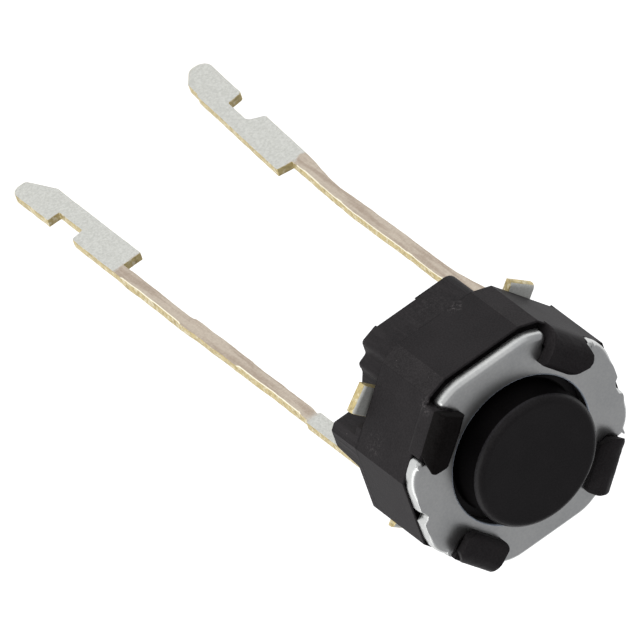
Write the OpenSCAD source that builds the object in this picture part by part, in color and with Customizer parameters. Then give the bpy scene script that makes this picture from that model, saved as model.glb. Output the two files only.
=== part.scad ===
// Tactile push button switch, round 6 mm class, with two long leads in line.
// Lengths are in millimetres. The origin is in the plane of the circuit board that the feet
// stand on, midway between the leads, and +Z points up through the button.

/* [Housing] */
// Width across the two long flats
body_y = 6.0; // [5.8:0.05:6.4]
// Width across the two short flats, on the leads' sides
body_x = 6.05; // [5.9:0.05:6.5]
// Length of each long flat
flat_y_len = 2.2; // [1.9:0.02:2.5]
// Length of each short flat
flat_x_len = 2.0; // [1.6:0.02:2.2]
// Width of the narrow facet beside each long flat
facet_w = 0.58; // [0.4:0.02:0.7]
// Angle of the narrow facet to the long flat
facet_angle = 20; // [14:1:26]
// Height of the ledge that carries the cover, above the board
ledge_z = 2.95; // [2.8:0.05:3.3]
// Height of the parting line, which is the top face of the flat metal inside
parting_z = 1.02; // [0.94:0.02:1.2]
// Depth of the small step at the parting line
parting_step = 0.03; // [0.02:0.01:0.06]
// How far the walls over the leads reach below the parting line
skirt_h = 0.19; // [0.1:0.01:0.2]
// Height of the underside above the board, which is the height of the feet
foot_h = 0.1; // [0.06:0.02:0.2]
// How far those walls reach past one end of their short flat
skirt_over = 0.4; // [0.2:0.05:0.5]
// Length of the outer foot at each short flat
foot_len = 0.75; // [0.5:0.05:0.9]
// Gap between that foot's tip and the lead beside it
foot_gap = 0.28; // [0.26:0.01:0.4]
// How much wider the foot is at its root than at its tip
foot_slope = 0.2; // [0:0.02:0.24]
// Gap between each lead and the narrow lower part that stands between them
core_gap = 0.41; // [0.3:0.01:0.5]
// How far the lower part runs past one end of each long flat
low_over = 0.19; // [0.1:0.01:0.3]
// Width of the lower part's side face at that end
low_side = 0.46; // [0.3:0.02:0.6]
// Distance from the facet's corner in to the rib at the other end
rib_in = 0.1; // [0.04:0.02:0.2]
// Width of that rib
rib_w = 0.38; // [0.3:0.02:0.46]
// How far the second rib stands out past the first
rib_step = 0.26; // [0.1:0.02:0.3]
// Radius of the small moulded corners
moulded_r = 0.1; // [0.04:0.01:0.12]
// Gap round the button's flange in its chamber
chamber_gap = 0.1; // [0.05:0.01:0.16]
// Height of the dome's pocket at the bottom of the chamber
pocket_h = 0.6; // [0.5:0.05:0.8]

/* [Staked lips] */
// Width of each lip that is bent over the cover
lip_w = 1.38; // [1.2:0.02:1.5]
// How far a lip's middle lies off the middle line of its slanted face
lip_shift = 0.22; // [0.14:0.02:0.3]
// Thickness of a lip where it lies on the cover
lip_t = 0.36; // [0.25:0.02:0.45]
// Length of a lip from the housing's slanted face to its inner end
lip_len = 0.86; // [0.76:0.02:0.94]
// Thickness of the post that a lip stands on
lip_post_t = 0.46; // [0.36:0.02:0.5]
// How far a lip's head spreads past its post, towards the short flat
lip_spread = 0.22; // [0.1:0.02:0.3]
// Radius of the bend over a lip's outer edge
lip_bend = 0.5; // [0.3:0.02:0.55]
// Size of the sloped corner at a lip's inner end
lip_corner = 0.3; // [0.1:0.02:0.4]
// How far the top of that end slopes down and in
lip_nose = 0.18; // [0.1:0.02:0.22]

/* [Cover plate] */
// Thickness of the cover's sheet steel
cover_t = 0.32; // [0.2:0.02:0.4]
// Gap round the button in the cover's hole
hole_gap = 0.21; // [0.1:0.01:0.24]
// How far the cover's straight edges lie in from the housing's flats
cover_inset = 0.16; // [0.1:0.01:0.24]
// How far its round corners lie in from the housing's corners
corner_inset = 0.2; // [0.14:0.01:0.3]
// Radius of the cover's corners beside the lips
cover_corner_r = 0.2; // [0.1:0.02:0.3]
// Gap between the cover and the post of each lip
lip_gap = 0.06; // [0.02:0.01:0.08]
// Width of the small notch where the cover was broken off its strip
tab_notch_w = 0.48; // [0.3:0.02:0.6]
// Depth of that notch
tab_notch_depth = 0.15; // [0.1:0.01:0.2]

/* [Button] */
// Diameter of the button, as a share of the width across the long flats
button_share = 0.583; // [0.55:0.001:0.62]
// Height of the button's top above the cover, at rest
button_rise = 0.73; // [0.5:0.01:1.2]
// Radius of the rounding round the button's top edge
button_edge_r = 0.24; // [0.1:0.02:0.4]
// How far the flange reaches past the edge of the cover's hole
flange_w = 0.24; // [0.16:0.02:0.3]
// Thickness of the flange
flange_t = 0.6; // [0.4:0.05:0.7]
// Gap between the flange and the cover above it
flange_gap = 0.02; // [0.01:0.01:0.05]
// Diameter of the stem that presses on the dome
stem_d = 1.2; // [0.8:0.05:1.6]
// Gap between the stem and the dome's crown
stem_gap = 0.02; // [0.01:0.01:0.03]

/* [Snap dome] */
// Diameter of the snap dome's rim, as a share of the width across the long flats
dome_share = 0.7; // [0.685:0.001:0.715]
// Height of the dome's crown above its rim
dome_h = 0.42; // [0.36:0.01:0.48]
// Thickness of the dome's spring steel
dome_t = 0.06; // [0.04:0.01:0.08]
// Gap round the dome in its pocket
dome_gap = 0.05; // [0.03:0.01:0.08]

/* [Leads] */
// Thickness of the leads' sheet metal
lead_t = 0.22; // [0.18:0.01:0.26]
// How far the contacts are raised above that face
contact_rise = 0.1; // [0.06:0.01:0.14]
// Diameter of the fixed contact under the dome's middle
centre_contact_d = 1.3; // [1:0.05:1.6]
// Width of the curved contact under the dome's rim
ring_contact_w = 0.3; // [0.24:0.02:0.4]
// Width of flat metal left round each raised contact
contact_rim = 0.18; // [0.1:0.02:0.24]
// Angle that the curved contact covers
ring_contact_angle = 140; // [100:5:160]
// Distance between the middles of the two leads
lead_pitch = 5.36; // [5.2:0.02:5.4]
// How far each leg's plane lies off the button's axis, on opposite sides
leg_y = 0.08; // [0:0.02:0.2]
// Width of a lead's shoulder, above the board
shoulder_w = 0.44; // [0.4:0.01:0.5]
// How far the shoulder reaches below the board plane
shoulder_drop = 1.6; // [0.8:0.05:2]
// Width of the long shank
shank_w = 0.31; // [0.26:0.01:0.38]
// Depth of the leads' tips below the board
tips_depth = 14.4; // [13:0.05:15]
// How much higher the ring lead's tip ends
ring_tip_up = 0.05; // [0:0.01:0.1]
// Length of the centre lead's blade
centre_blade_len = 4.75; // [3.8:0.05:5]
// Length of the ring lead's blade
ring_blade_len = 4.45; // [3.8:0.05:5]
// Width of the blade
blade_w = 0.85; // [0.75:0.01:1]
// Width by which the blade narrows at its tip
tip_narrowing = 0.26; // [0.1:0.02:0.34]
// Length over which the tip narrows
tip_len = 0.6; // [0.3:0.05:0.9]
// Radius of the tip's corners
tip_r = 0.26; // [0.1:0.02:0.28]
// Distance from the blade's tip to the notch in its outer edge
hook_from_tip = 1.6; // [1.2:0.05:1.8]
// Length of that notch
hook_len = 0.95; // [0.6:0.05:1.2]
// Depth of that notch
hook_depth = 0.36; // [0.2:0.02:0.42]
// Radius left in the notch's corners by the die
hook_r = 0.04; // [0.02:0.01:0.08]
// Inward bow of the centre lead's shank
centre_bow = 0.17; // [0:0.01:0.3]
// Inward bow of the ring lead's shank
ring_bow = 0.02; // [0:0.01:0.3]
// Length of shank over which the bow starts and ends
bow_len = 1.8; // [1:0.1:3]
// Outward lean of the centre lead's blade, in degrees
centre_blade_lean = 4.5; // [0:0.5:6]
// Outward lean of the ring lead's blade, in degrees
ring_blade_lean = -0.5; // [-3:0.5:3]
// Length of the flat tab that a leg is folded down from
tab_len = 0.75; // [0.5:0.05:0.9]
// Inside radius of that fold
fold_r = 0.04; // [0.02:0.01:0.08]
// Width of a cut tie bar at the housing's slanted faces
stub_w = 0.78; // [0.6:0.02:0.9]
// Direction of the tie bars, from the line through the two leads
stub_angle = 40; // [37:1:44]
// How far a tie bar's cut end stands out of the housing
stub_out = 0.2; // [0.1:0.02:0.3]

/* [Hidden] */
$fn = 64;

// A cut is made longer than its wall by this much at each end
over = 0.5;

// Outline of the housing, from the flats' lengths and the facets
half_x = body_x / 2;
half_y = body_y / 2;
flat_y = flat_y_len / 2;
flat_x = flat_x_len / 2;
facet_x = flat_y + facet_w * cos(facet_angle);
facet_y = half_y - facet_w * sin(facet_angle);

// The button and the dome, which keep their share of the housing
button_d = button_share * body_y;
dome_d = dome_share * body_y;

// Outline of the cover, which lies inside that of the housing
cover_x = body_x - 2 * cover_inset;
cover_y = body_y - 2 * cover_inset;
cover_r = norm([facet_x, facet_y]) - corner_inset;
cover_hole_d = button_d + 2 * hole_gap;

// Direction of the slanted faces' outward normal, and their distance from the axis
slant_angle = atan2(half_x - facet_x, facet_y - flat_x);
slant_r = facet_x * cos(slant_angle) + facet_y * sin(slant_angle);

// Heights in the stack above the board
floor_z = parting_z + contact_rise;
frame_bottom_z = parting_z - lead_t;
cover_top_z = ledge_z + cover_t;
lip_top_z = cover_top_z + lip_t;
flange_top_z = ledge_z - flange_gap;
flange_bottom_z = flange_top_z - flange_t;
crown_z = floor_z + dome_h;
stem_bottom_z = crown_z + stem_gap;
button_top_z = cover_top_z + button_rise;

// Radii in the chamber
flange_r = cover_hole_d / 2 + flange_w;
chamber_r = flange_r + chamber_gap;
pocket_r = dome_d / 2 + dome_gap;
ring_mid_r = dome_d / 2 - ring_contact_w / 2;
ring_plate_w = ring_contact_w + 2 * contact_rim;
ring_plate_angle = ring_contact_angle + 2 * atan(contact_rim / ring_mid_r);
lip_post_r = slant_r - lip_post_t;
lip_reach = slant_r - lip_len;

// End of a lip's post towards the short flat, from the lip's middle
post_start = lip_spread - lip_w / 2;

// Depth below the board at which each lead's blade starts
centre_blade_start = tips_depth - centre_blade_len;
ring_blade_start = tips_depth - ring_tip_up - ring_blade_len;

// Middle of each lead at the board, and what stands beside it
lead_x = lead_pitch / 2;
core_x = lead_x - shoulder_w / 2 - core_gap;
foot_y = leg_y + lead_t / 2 + foot_gap;

function unit(v) = v / norm(v);

// Points of an arc that rounds the corner b of the path a, b, c with radius r
function round_corner(a, b, c, r, steps = 6) =
    r == 0 ? [b] :
    let (u = unit(a - b), v = unit(c - b),
         half = acos(u * v) / 2,
         centre = b + unit(u + v) * r / sin(half),
         start = b + u * r / tan(half) - centre,
         end = b + v * r / tan(half) - centre,
         from = atan2(start.y, start.x),
         turn = atan2(end.y, end.x) - from,
         sweep = turn > 180 ? turn - 360 : turn < -180 ? turn + 360 : turn)
    [for (i = [0:steps]) let (t = from + sweep * i / steps) centre + r * [cos(t), sin(t)]];

// Closed path through points [x, y, radius], each corner rounded with its radius
function round_path(points) =
    let (n = len(points))
    [for (i = [0:n - 1]) let (
        a = points[(i + n - 1) % n], b = points[i], c = points[(i + 1) % n])
        each round_corner([a.x, a.y], [b.x, b.y], [c.x, c.y], b.z)];

module corners4() {
    for (x = [0, 1], y = [0, 1]) mirror([x, 0, 0]) mirror([0, y, 0]) children();
}

// Puts children at the middle of the lip on each slanted face, X pointing outward
module at_lips() {
    corners4() rotate(slant_angle) translate([0, lip_shift, 0]) children();
}

// Turns a side, drawn for the lead at +X, to the other lead's side
module half_turn() {
    children();
    rotate(180) children();
}

// Extrudes a profile drawn in X and Z along Y, centred
module along_y(width) {
    rotate([90, 0, 0]) linear_extrude(width, center = true) children();
}

module slab(bottom, top) {
    translate([0, 0, bottom]) linear_extrude(top - bottom) children();
}

module housing_outline() {
    quarter = [[flat_y, half_y], [facet_x, facet_y], [half_x, flat_x]];
    polygon([
        for (p = quarter) p,
        for (i = [2:-1:0]) [quarter[i].x, -quarter[i].y],
        for (p = quarter) -p,
        for (i = [2:-1:0]) [-quarter[i].x, quarter[i].y],
    ]);
}

// Outline below the metal frame: half a turn brings it onto itself, but no mirror does
rib_x = rib_in - facet_x;
rib_y = facet_y - rib_w;
core_points = [
    [core_x, flat_x + skirt_over, moulded_r],
    [flat_y + low_over, facet_y - low_side, moulded_r],
    [flat_y + low_over, half_y, 2 * moulded_r],
    [-flat_y, half_y, 0],
    [rib_x, facet_y, moulded_r],
    [rib_x, rib_y, moulded_r],
    [rib_x - rib_step, rib_y - rib_step / 2, moulded_r],
    [rib_x - rib_step, rib_y - rib_w, moulded_r],
    [-core_x, flat_x + skirt_over, moulded_r],
];

module core_outline() {
    polygon(round_path([
        for (p = core_points) p,
        for (p = core_points) [-p.x, -p.y, p.z],
    ]));
}

// Outer foot below each short flat, wider at its root
module outer_feet() {
    root = core_x - moulded_r;
    half_turn() translate([-half_x, 0, 0]) rotate([90, 0, 90]) linear_extrude(half_x - root)
        polygon([
            [foot_y, 0],
            [foot_y + foot_len, 0],
            [foot_y + foot_len, parting_z],
            [foot_y - foot_slope, parting_z],
        ]);
}

// Ends of the ribs beside the long flats, which reach down to the board as feet do
module rib_feet_outline() {
    half_turn() intersection() {
        core_outline();
        translate([-half_x, rib_y - rib_step]) square([half_x - flat_y, half_y]);
    }
}

module lip_profile() {
    bend = min(lip_bend, lip_len - lip_nose - moulded_r);
    polygon(round_path([
        [lip_post_r, floor_z, 0],
        [slant_r, floor_z, 0],
        [slant_r, lip_top_z, bend],
        [lip_reach + lip_nose, lip_top_z, 2 * moulded_r],
        [lip_reach, lip_top_z - lip_nose, moulded_r],
        [lip_reach, cover_top_z, 0],
        [lip_post_r, cover_top_z, 0],
    ]));
}

// The head's outline from above, narrower at the housing's face and at its inner end
module lip_outline() {
    polygon([
        [slant_r + over, post_start],
        [slant_r + over, lip_w / 2],
        [lip_reach, lip_w / 2],
        [lip_reach, -lip_w / 2 + lip_corner],
        [lip_reach + lip_corner, -lip_w / 2],
        [slant_r - lip_spread, -lip_w / 2],
        [slant_r, post_start],
    ]);
}

module lips() {
    at_lips() intersection() {
        along_y(lip_w) lip_profile();
        union() {
            slab(cover_top_z, lip_top_z + over) lip_outline();
            slab(floor_z, cover_top_z + over)
                translate([0, post_start]) square([slant_r + over, lip_w / 2 - post_start]);
        }
    }
}

module chamber() {
    slab(floor_z, floor_z + pocket_h) circle(pocket_r);
    slab(floor_z + pocket_h / 2, ledge_z + cover_t / 2) circle(chamber_r);
}

// Step below the parting line, which stops at the edge of each long flat's lower part
module parting_cut() {
    half_turn() translate([-half_x, half_y - parting_step, -over])
        cube([half_x + flat_y + low_over, parting_step + over, parting_z + over]);
}

// Walls over the leads, which cover the edge of the flat metal
module skirt_outline() {
    intersection() {
        housing_outline();
        half_turn() translate([core_x - moulded_r, -flat_x - skirt_over])
            square([half_x, 2 * flat_x + skirt_over]);
    }
}

module housing() {
    color("#2b292b") difference() {
        union() {
            slab(parting_z, ledge_z) housing_outline();
            slab(parting_z - skirt_h, parting_z) skirt_outline();
            slab(foot_h, parting_z) core_outline();
            slab(0, foot_h) rib_feet_outline();
            outer_feet();
            lips();
        }
        chamber();
        parting_cut();
        centre_frame();
        ring_frame();
    }
}

// Cuts the cover's corner beside a lip's slot to a quarter round
module cover_corner(side) {
    post_end = side > 0 ? lip_w / 2 : post_start;
    edge_s = lip_shift + post_end + side * (lip_gap + cover_corner_r);
    edge_r = sqrt(pow(cover_r - cover_corner_r, 2) - edge_s * edge_s);
    centre = [edge_r, edge_s];
    difference() {
        polygon([
            centre,
            centre + unit(centre) * (cover_corner_r + over),
            [cover_r + over, edge_s - side * (cover_corner_r + lip_gap)],
            [edge_r, edge_s - side * (cover_corner_r + lip_gap)],
        ]);
        translate(centre) circle(cover_corner_r);
    }
}

module cover_outline() {
    difference() {
        intersection() {
            circle(cover_r);
            square([cover_x, cover_y], center = true);
        }
        circle(d = cover_hole_d);
        at_lips() translate([lip_post_r - lip_gap, post_start - lip_gap])
            square([cover_r, lip_w - lip_spread + 2 * lip_gap]);
        corners4() rotate(slant_angle) for (side = [-1, 1]) cover_corner(side);
        half_turn() translate([cover_x / 2, 0]) polygon([
            [-tab_notch_depth, 0],
            [0, -tab_notch_w / 2],
            [over, -tab_notch_w / 2],
            [over, tab_notch_w / 2],
            [0, tab_notch_w / 2],
        ]);
    }
}

module cover_plate() {
    color("#b9bcbd") slab(ledge_z, cover_top_z) cover_outline();
}

module button() {
    color("#232123") rotate_extrude() polygon(round_path([
        [0, stem_bottom_z, 0],
        [stem_d / 2, stem_bottom_z, moulded_r],
        [stem_d / 2, flange_bottom_z, 0],
        [flange_r, flange_bottom_z, 0],
        [flange_r, flange_top_z, 0],
        [button_d / 2, flange_top_z, 0],
        [button_d / 2, button_top_z, button_edge_r],
        [0, button_top_z, 0],
    ]));
}

// A shallow spherical shell that stands on its rim
module snap_dome() {
    shell_r = (pow(dome_d / 2, 2) + pow(dome_h, 2)) / (2 * dome_h);
    color("#c8c4b8") translate([0, 0, crown_z - shell_r]) intersection() {
        difference() {
            sphere(shell_r, $fn = 96);
            sphere(shell_r - dome_t, $fn = 96);
        }
        translate([0, 0, shell_r - dome_h]) cylinder(h = dome_h + over, r = dome_d / 2);
    }
}

// Flat piece of metal in the frame's plane
module frame_plate() {
    slab(frame_bottom_z, parting_z) children();
}

// Tie bars out to the two slanted faces on one side
module tie_bars(from_r) {
    end_r = slant_r / cos(stub_angle - slant_angle) + stub_out;
    for (y = [0, 1]) mirror([0, y, 0]) rotate(stub_angle)
        translate([from_r, -stub_w / 2]) square([end_r - from_r, stub_w]);
}

// Tab and leg of the lead at +X: the tab is folded down at its front edge
module leg_fold() {
    translate([lead_x, -leg_y, 0]) rotate([90, 0, 90])
        linear_extrude(shoulder_w, center = true) polygon(round_path([
            [tab_len, parting_z, 0],
            [tab_len, frame_bottom_z, 0],
            [lead_t / 2, frame_bottom_z, fold_r],
            [lead_t / 2, -shoulder_drop, 0],
            [-lead_t / 2, -shoulder_drop, 0],
            [-lead_t / 2, parting_z, fold_r + lead_t],
        ]));
}

// Shank from the shoulder's taper, bowed a little inward, into the top of the blade
module shank_profile(bow, lean, blade_start) {
    taper = (shoulder_w - shank_w) / 2;
    root = shank_w / 3;
    path = [
        [lead_x, -shoulder_drop - taper],
        [lead_x - bow, -shoulder_drop - bow_len],
        [lead_x - bow, -blade_start + bow_len],
        [lead_x, -blade_start],
        [lead_x + root * tan(lean), -blade_start - root],
    ];
    polygon([
        [lead_x - shoulder_w / 2, -shoulder_drop],
        for (p = path) p - [shank_w / 2, 0],
        for (i = [len(path) - 1:-1:0]) path[i] + [shank_w / 2, 0],
        [lead_x + shoulder_w / 2, -shoulder_drop],
    ]);
}

// Blade with its outer edge at x = 0 and its top at z = 0
module blade_profile(blade_len) {
    hook_z = -blade_len + hook_from_tip;
    polygon(round_path([
        [0, 0, 0],
        [0, hook_z + hook_len, hook_r],
        [-hook_depth, hook_z + hook_len, hook_r],
        [-hook_depth, hook_z, hook_r],
        [0, hook_z, hook_r],
        [0, -blade_len, tip_r],
        [-blade_w + tip_narrowing, -blade_len, tip_r],
        [-blade_w, -blade_len + tip_len, tip_r],
        [-blade_w, 0, 0],
    ]));
}

module leg(bow, lean, blade_start, blade_len) {
    leg_fold();
    translate([0, -leg_y, 0]) {
        along_y(lead_t) shank_profile(bow, lean, blade_start);
        translate([lead_x + shank_w / 2, 0, -blade_start]) rotate([0, -lean, 0])
            along_y(lead_t) blade_profile(blade_len);
    }
}

// Frame of the lead whose contact lies under the dome's middle
module centre_frame() {
    frame_plate() {
        circle(d = centre_contact_d + 2 * contact_rim);
        translate([0, -centre_contact_d / 2]) square([lead_x, centre_contact_d]);
        difference() {
            tie_bars(centre_contact_d / 2);
            circle(centre_contact_d / 2);
        }
    }
    slab(frame_bottom_z, floor_z) circle(d = centre_contact_d);
    leg_fold();
}

module sector(angle, reach) {
    polygon([[0, 0], for (i = [-4:4]) let (t = i * angle / 8) reach * [cos(t), sin(t)]]);
}

module ring_band(width, angle) {
    intersection() {
        difference() {
            circle(ring_mid_r + width / 2);
            circle(ring_mid_r - width / 2);
        }
        sector(angle, dome_d);
    }
}

// Frame of the lead whose contact lies under the dome's rim, drawn for +X and turned
module ring_frame() {
    rotate(180) {
        frame_plate() {
            ring_band(ring_plate_w, ring_plate_angle);
            translate([ring_mid_r, -centre_contact_d / 2])
                square([lead_x - ring_mid_r, centre_contact_d]);
            tie_bars(ring_mid_r);
        }
        slab(frame_bottom_z, floor_z) ring_band(ring_contact_w, ring_contact_angle);
        leg_fold();
    }
}

module centre_lead() {
    color("#c9c3b2") {
        centre_frame();
        leg(centre_bow, centre_blade_lean, centre_blade_start, centre_blade_len);
    }
}

module ring_lead() {
    color("#c9c3b2") {
        ring_frame();
        rotate(180) leg(ring_bow, ring_blade_lean, ring_blade_start, ring_blade_len);
    }
}

housing();
cover_plate();
button();
snap_dome();
centre_lead();
ring_lead();
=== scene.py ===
"""Dressed model of a small round tactile push button switch with two long leads.

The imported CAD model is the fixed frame: every piece is built in the same axes, in millimetres,
and turned into metres when its mesh is finished.  +Z points up through the button, X runs
through the two leads with the centre lead at +X, and the board plane is z = 0.
"""

from __future__ import annotations

import logging
import math
from collections.abc import Callable, Sequence
from dataclasses import dataclass, field
from enum import Enum

import bmesh
import bpy
from mathutils import Matrix, Vector, noise


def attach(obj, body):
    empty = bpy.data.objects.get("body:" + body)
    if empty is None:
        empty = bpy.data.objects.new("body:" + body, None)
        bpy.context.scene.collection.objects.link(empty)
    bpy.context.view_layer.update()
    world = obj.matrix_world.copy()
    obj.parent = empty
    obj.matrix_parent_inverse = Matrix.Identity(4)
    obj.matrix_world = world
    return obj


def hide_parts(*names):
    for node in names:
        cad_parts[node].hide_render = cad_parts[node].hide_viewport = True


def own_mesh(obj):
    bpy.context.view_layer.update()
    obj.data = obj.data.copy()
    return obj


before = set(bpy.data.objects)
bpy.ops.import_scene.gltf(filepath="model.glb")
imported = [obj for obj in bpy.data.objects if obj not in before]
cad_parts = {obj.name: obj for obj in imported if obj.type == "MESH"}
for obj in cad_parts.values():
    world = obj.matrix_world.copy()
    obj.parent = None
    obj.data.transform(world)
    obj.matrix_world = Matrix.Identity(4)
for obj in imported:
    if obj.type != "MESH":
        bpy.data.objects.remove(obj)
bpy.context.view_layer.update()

Point = tuple[float, float]
Triple = tuple[float, float, float]

MM = 0.001
SMOOTH_ANGLE = math.radians(32)
FLAT_ANGLE = math.radians(0.4)
STRAIGHT = math.radians(88)
WELD = 2e-4
AXIS_R = 1e-5
# Lengths past the outside and past the underside of the body, for the solids that cut it.
OUTSIDE = 4.0
BELOW = -1.0
# Turns of a slab: its outline into Y and Z, into X and Z, and into X and Z the other way round.
ALONG_X = Matrix(((0, 0, 1), (1, 0, 0), (0, 1, 0))).to_4x4()
ALONG_Y = Matrix(((1, 0, 0), (0, 0, 1), (0, 1, 0))).to_4x4()
UPRIGHT = Matrix(((1, 0, 0), (0, 0, -1), (0, 1, 0))).to_4x4()
HALF_TURN = Matrix.Rotation(math.pi, 4, "Z")

log = logging.getLogger("switch")


class Body(Enum):
    """The moving bodies of the switch."""

    BASE = "base"
    BUTTON = "push_button"


class Slot(Enum):
    """The material slots of the part's record."""

    HOUSING = "housing_plastic"
    COVER = "cover_steel"
    BUTTON = "button_plastic"
    DOME = "spring_steel"
    LEAD = "tinned_brass"


class Join(Enum):
    """How one solid is worked into another."""

    ADD = "UNION"
    CUT = "DIFFERENCE"
    KEEP_COMMON = "INTERSECT"


# ---- outlines


def rounded(path: Sequence[Triple], steps: int = 6) -> list[Point]:
    """Rounds the corners of a closed path.

    Args:
        path: Points (x, y, radius), with radius 0 where the corner is kept.
        steps: Number of short edges in each round.

    Returns:
        The outline's points.
    """
    points = [Vector(p[:2]) for p in path]
    made: list[Point] = []
    for i, b in enumerate(points):
        u, v = (points[i - 1] - b).normalized(), (points[(i + 1) % len(path)] - b).normalized()
        radius = path[i][2]
        half = u.angle(v) / 2 if radius > 0 else math.pi / 2
        if half > STRAIGHT:
            made.append(tuple(b))
            continue
        centre = b + (u + v).normalized() * (radius / math.sin(half))
        start = b + u * (radius / math.tan(half)) - centre
        end = b + v * (radius / math.tan(half)) - centre
        sweep = start.angle_signed(end) * -1
        made += [tuple(centre + Matrix.Rotation(sweep * k / steps, 2) @ start)
                 for k in range(steps + 1)]
    return made


def inset(outline: Sequence[Point], distance: float) -> list[Point]:
    """Moves each side of a counter-clockwise outline inward.

    Args:
        outline: The outline's points.
        distance: How far each side moves.

    Returns:
        The points of the smaller outline.
    """
    sharpest = 0.3
    points = [Vector(p) for p in outline]
    made = []
    for i, p in enumerate(points):
        a, b = (p - points[i - 1]).normalized(), (points[(i + 1) % len(points)] - p).normalized()
        na, nb = Vector((-a.y, a.x)), Vector((-b.y, b.x))
        made.append(tuple(p + (na + nb) * (distance / max(1 + na.dot(nb), sharpest))))
    return made


def divided(outline: Sequence[Point], longest: float) -> list[Point]:
    """Divides the long edges of a closed outline.

    Args:
        outline: The outline's points.
        longest: Length that no edge exceeds afterwards.

    Returns:
        The outline with its added points.
    """
    made: list[Point] = []
    for i, p in enumerate(outline):
        q = outline[(i + 1) % len(outline)]
        parts = max(1, math.ceil(math.dist(p, q) / longest))
        made += [(p[0] + (q[0] - p[0]) * k / parts, p[1] + (q[1] - p[1]) * k / parts)
                 for k in range(parts)]
    return made


def turned(outline: Sequence[tuple[float, ...]]) -> list[tuple[float, ...]]:
    """An outline's points after half a turn about the origin; further values are kept."""
    return [(-p[0], -p[1], *p[2:]) for p in outline]


def circle(radius: float, count: int) -> list[Point]:
    """Points round a circle about the origin."""
    angles = (math.tau * i / count for i in range(count))
    return [(radius * math.cos(a), radius * math.sin(a)) for a in angles]


def rounded_edge(height: float, radius: float, steps: int, upper: bool) -> list[Point]:
    """Works out the levels of a rounded edge.

    Args:
        height: Height of the face that the edge runs round.
        radius: Radius of the edge, or 0 to keep it sharp.
        steps: Number of short edges in the round.
        upper: Whether the face is the upper one.

    Returns:
        Rising levels (height, inset).
    """
    made = []
    for i in range(steps + 1 if radius else 1):
        a = math.pi / 2 * i / steps
        late, early = radius * (1 - math.sin(a)), radius * (1 - math.cos(a))
        made.append((height - late, early) if upper else (height + early, late))
    return made


def between(table: Sequence[Point], x: float) -> float:
    """Reads a table of (place, value) at a place.

    Args:
        table: Its rows, by rising place.
        x: The place.

    Returns:
        The value between the two rows beside it, or an end row's value outside the table.
    """
    for (x0, v0), (x1, v1) in zip(table, table[1:]):
        if x <= x1:
            return v0 + (v1 - v0) * max(0.0, (x - x0) / (x1 - x0))
    return table[-1][1]


def smoothstep(x: float) -> float:
    """A smooth rise from 0 to 1 as x goes from 0 to 1."""
    x = min(max(x, 0.0), 1.0)
    return x * x * (3 - 2 * x)


# ---- shells and solids


class Shell:
    """A closed surface under construction, in millimetres."""

    def __init__(self, rings: Sequence[Sequence[Vector]], ends: bool = True) -> None:
        """Joins rings of equal length into a tube.

        Args:
            rings: The rings, each a closed loop of points.
            ends: Whether two flat ends close the tube.
        """
        count = len(rings[0])
        self.points = [Vector(p) for ring in rings for p in ring]
        last = len(self.points) - count
        self.faces = [tuple(range(count))[::-1], tuple(range(last, last + count))] if ends else []
        for k in range(len(rings) - 1):
            low, high = k * count, (k + 1) * count
            self.faces += [(low + i, low + (i + 1) % count, high + (i + 1) % count, high + i)
                           for i in range(count)]

    @classmethod
    def prism(cls, outline: Sequence[Point], low: float, high: float,
              low_round: float = 0.0, high_round: float = 0.0, steps: int = 4) -> Shell:
        """Makes a slab with rounded lower and upper edges.

        Args:
            outline: Counter-clockwise outline in the plane of the slab.
            low: Height of the lower face.
            high: Height of the upper face.
            low_round: Radius of the lower edge.
            high_round: Radius of the upper edge.
            steps: Number of short edges in each round.

        Returns:
            The slab.
        """
        levels = rounded_edge(low, low_round, steps, False)
        levels += rounded_edge(high, high_round, steps, True)
        return cls([[Vector((*p, z)) for p in (inset(outline, d) if d else outline)]
                    for z, d in levels])

    @classmethod
    def revolve(cls, profile: Sequence[Point], segments: int, ends: bool = True) -> Shell:
        """Turns a profile (radius, height) about the Z axis.

        Args:
            profile: The profile, from the axis round to the axis where its ends are closed.
            segments: Number of sides round the axis.
            ends: Whether its ends are closed.

        Returns:
            The turned surface.
        """
        return cls([[Vector((*p, z)) for p in circle(max(r, AXIS_R), segments)]
                    for r, z in profile], ends)

    def moved(self, matrix: Matrix) -> Shell:
        """Moves every point by a matrix and returns the shell."""
        self.points = [matrix @ p for p in self.points]
        return self

    def shifted(self, shift: Callable[[Vector], Vector]) -> Shell:
        """Moves each point by a function of its place and returns the shell."""
        self.points = [p + shift(p) for p in self.points]
        return self

    def to_object(self, name: str) -> bpy.types.Object:
        """Turns the shell into an object.

        Args:
            name: Name of the object.

        Returns:
            The new object, in mm, linked to the scene.
        """
        mesh = bpy.data.meshes.new(name)
        mesh.from_pydata(self.points, [], self.faces)
        work = bmesh.new()
        work.from_mesh(mesh)
        bmesh.ops.remove_doubles(work, verts=work.verts, dist=2 * AXIS_R)
        return linked(name, mesh, work)


def added(name: str, data: bpy.types.ID) -> bpy.types.Object:
    """Adds an object to the scene.

    Args:
        name: Its name.
        data: The mesh, light or camera that it shows.

    Returns:
        The object.
    """
    made = bpy.data.objects.new(name, data)
    bpy.context.scene.collection.objects.link(made)
    return made


def linked(name: str, mesh: bpy.types.Mesh, work: bmesh.types.BMesh) -> bpy.types.Object:
    """Writes worked geometry to a mesh and links an object that shows it.

    Args:
        name: Name of the object.
        mesh: The mesh.
        work: Its geometry, which is freed.

    Returns:
        The object.
    """
    bmesh.ops.recalc_face_normals(work, faces=work.faces)
    work.to_mesh(mesh)
    work.free()
    return added(name, mesh)


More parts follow.
